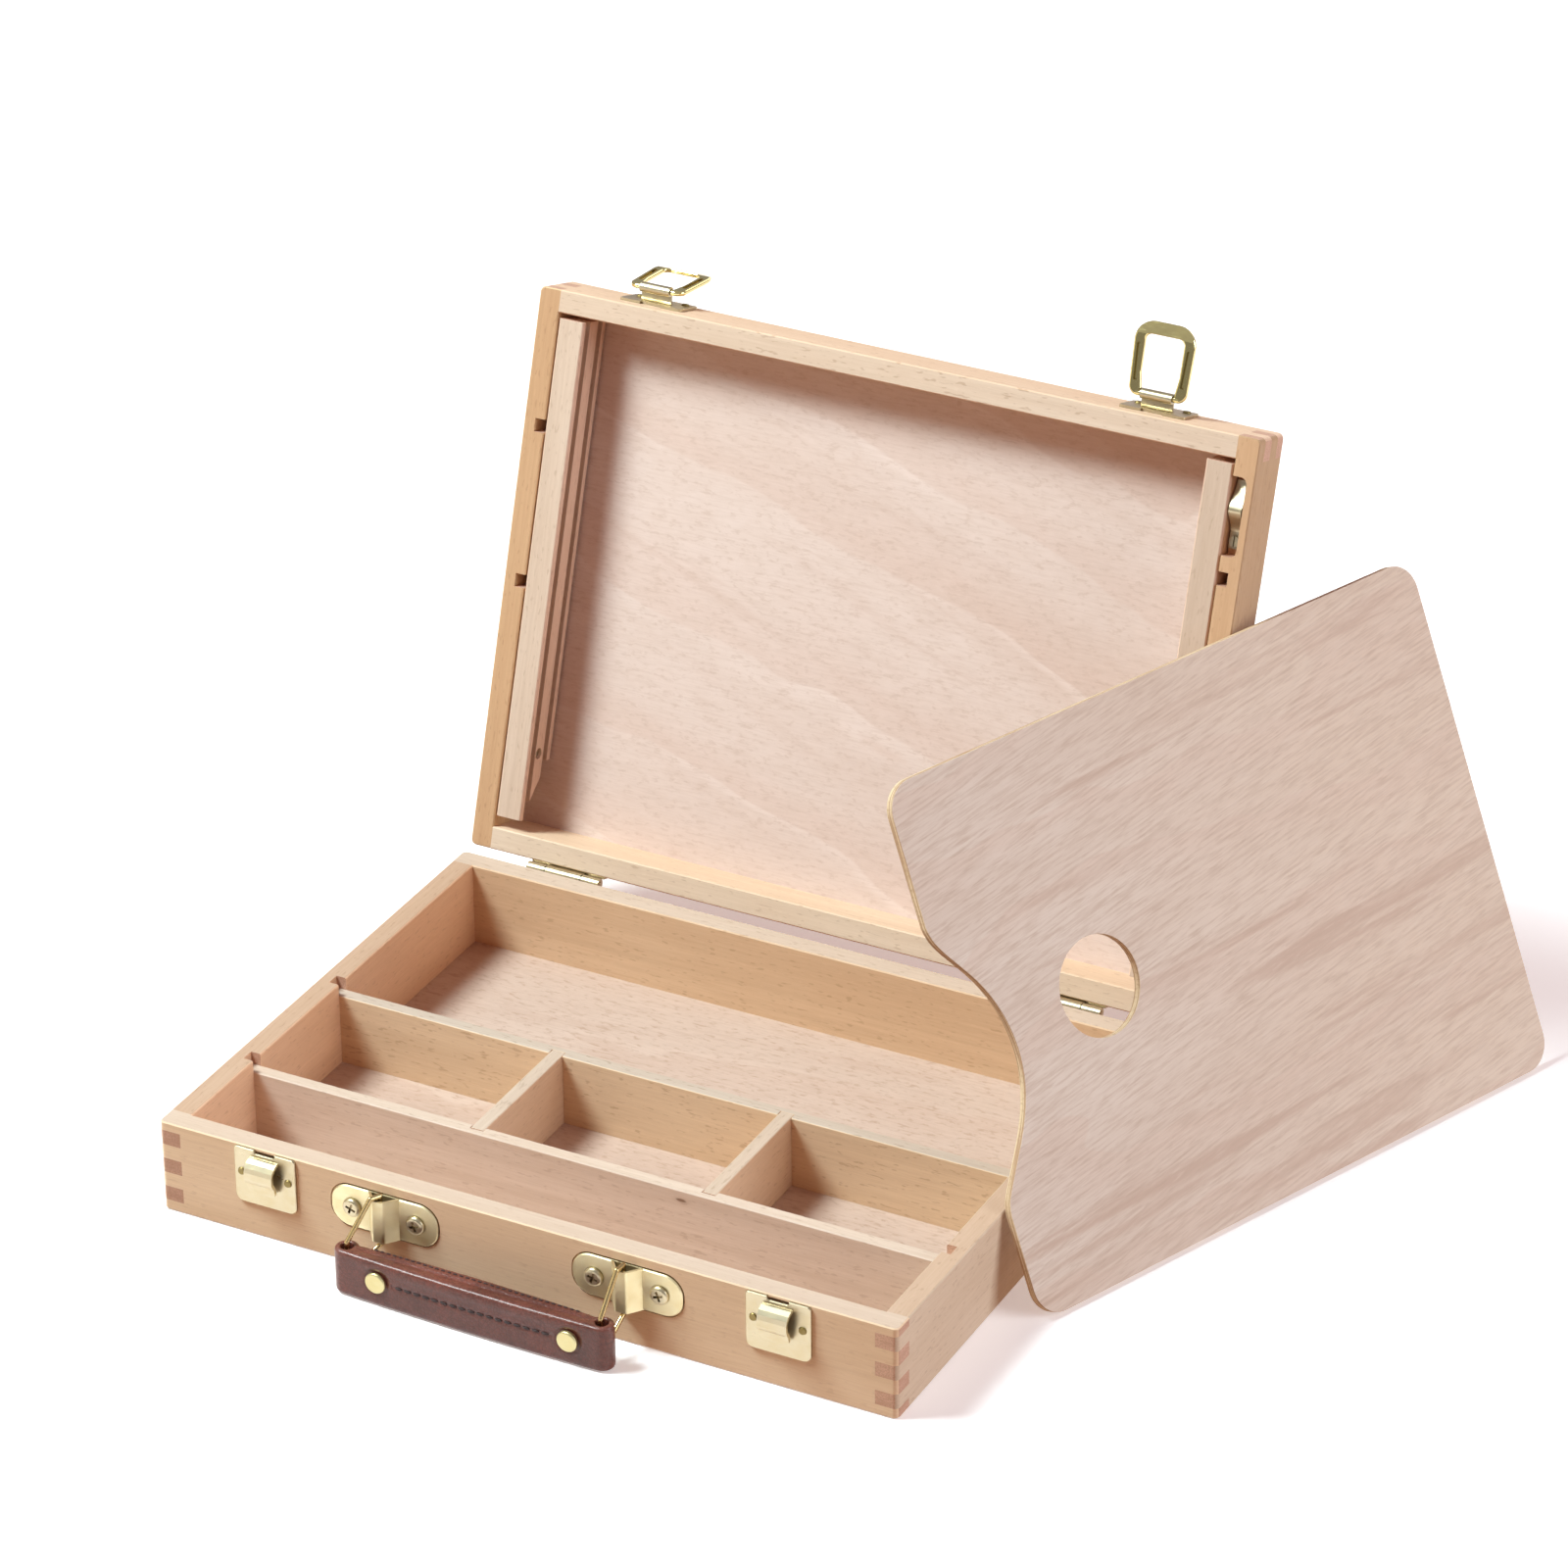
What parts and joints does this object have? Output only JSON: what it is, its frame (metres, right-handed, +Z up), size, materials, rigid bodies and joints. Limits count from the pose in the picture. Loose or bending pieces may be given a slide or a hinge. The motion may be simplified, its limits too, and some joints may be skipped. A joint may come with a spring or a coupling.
{
  "type": "pochade box",
  "caption": "Wooden pochade box with finger-jointed walls, open lid with slotted canvas rails, divided tray, brass draw latches, leather grip and a leaning thumb-hole palette.",
  "frame": {"origin": "centre of the base's underside", "axes": "+X to the box's right seen from the front, +Y to the back where the hinges are, +Z up; the lid is stored open"},
  "size_m": [0.4675, 0.4253, 0.3152],
  "materials": {
    "beech": "satin oiled",
    "plywood": "satin oiled",
    "palette_plywood": "satin oiled",
    "brass": "bright plated",
    "brown_leather": "waxed"
  },
  "bodies": {
    "base": {"base_wall_left": "beech", "base_wall_right": "beech", "base_wall_front": "beech", "base_wall_back": "beech", "base_panel": "plywood", "long_divider_front": "beech", "long_divider_rear": "beech", "short_divider_left": "beech", "short_divider_right": "beech", "hinge_base_leaf_left": "brass", "hinge_base_leaf_right": "brass", "hinge_pin_left": "brass", "hinge_pin_right": "brass", "hinge_base_screws_left": "brass", "hinge_base_screws_right": "brass", "catch_plate_left": "brass", "catch_plate_right": "brass", "catch_nails_left": "brass", "catch_nails_right": "brass", "handle_plate_left": "brass", "handle_plate_right": "brass", "handle_screw_left_a": "brass", "handle_screw_left_b": "brass", "handle_screw_right_a": "brass", "handle_screw_right_b": "brass"},
    "lid": {"lid_wall_left": "beech", "lid_wall_right": "beech", "lid_wall_front": "beech", "lid_wall_back": "beech", "lid_panel": "plywood", "hinge_lid_leaf_left": "brass", "hinge_lid_leaf_right": "brass", "hinge_lid_screws_left": "brass", "hinge_lid_screws_right": "brass", "latch_plate_left": "brass", "latch_plate_right": "brass", "latch_nails_left": "brass", "latch_nails_right": "brass", "rail_screw_left": "brass", "rail_screw_right": "brass", "leaf_spring": "brass", "leaf_spring_screw": "brass"},
    "latch_loop_left": {"latch_loop_left": "brass"},
    "latch_loop_right": {"latch_loop_right": "brass"},
    "canvas_rail_left": {"canvas_rail_left": "beech"},
    "canvas_rail_right": {"canvas_rail_right": "beech"},
    "handle_ring_left": {"handle_ring_left": "brass"},
    "handle_ring_right": {"handle_ring_right": "brass"},
    "handle_grip": {"grip_leather": "brown_leather", "grip_rivet_left": "brass", "grip_rivet_right": "brass"},
    "palette": {"palette": "palette_plywood"}
  },
  "joints": [
    {"name": "lid_hinge", "type": "hinge", "parent": "base", "child": "lid", "pos_m": [0, 0.12855, 0.041], "axis": [1, 0, 0], "range_deg": [0, 107.59]},
    {"name": "latch_left", "type": "hinge", "parent": "lid", "child": "latch_loop_left", "pos_m": [-0.1198, 0.21969, 0.28612], "axis": [1, 0, 0], "range_deg": [0, 169]},
    {"name": "latch_right", "type": "hinge", "parent": "lid", "child": "latch_loop_right", "pos_m": [0.1174, 0.21969, 0.28612], "axis": [1, 0, 0], "range_deg": [-78.5, 90.5]},
    {"name": "rail_left", "type": "hinge", "parent": "lid", "child": "canvas_rail_left", "pos_m": [-0.1533, 0.1544, 0.08284], "axis": [-1, 0, 0], "range_deg": [-12, 0]},
    {"name": "rail_right", "type": "hinge", "parent": "lid", "child": "canvas_rail_right", "pos_m": [0.1533, 0.1544, 0.08284], "axis": [-1, 0, 0], "range_deg": [-12, 0]},
    {"name": "handle_swing", "type": "hinge", "parent": "base", "child": "handle_ring_left", "pos_m": [-0.0625, -0.12915, 0.0277], "axis": [0, 0, 1], "range_deg": [0, 45]},
    {"name": "handle_ring_right_swing", "type": "hinge", "parent": "base", "child": "handle_ring_right", "pos_m": [0.04975, -0.12915, 0.0277], "axis": [0, 0, 1], "range_deg": [0, 45]},
    {"name": "grip_eye", "type": "hinge", "parent": "handle_ring_left", "child": "handle_grip", "pos_m": [-0.0704, -0.14305, 0.0106], "axis": [0, 0, 1], "range_deg": [-42.7, 0]},
    {"name": "palette_tip", "type": "hinge", "parent": "base", "child": "palette", "pos_m": [0.1934, -0.03675, 0.00162], "axis": [0.3613, 0.9325, 0], "range_deg": [0, 114.97]}
  ],
  "couplings": [
    {"joint": "handle_ring_right_swing", "follows": "handle_swing", "ratio": 1},
    {"joint": "grip_eye", "follows": "handle_swing", "ratio": -0.947},
    {"joint": "palette_tip", "follows": "lid_hinge", "ratio": 1.0676}
  ]
}
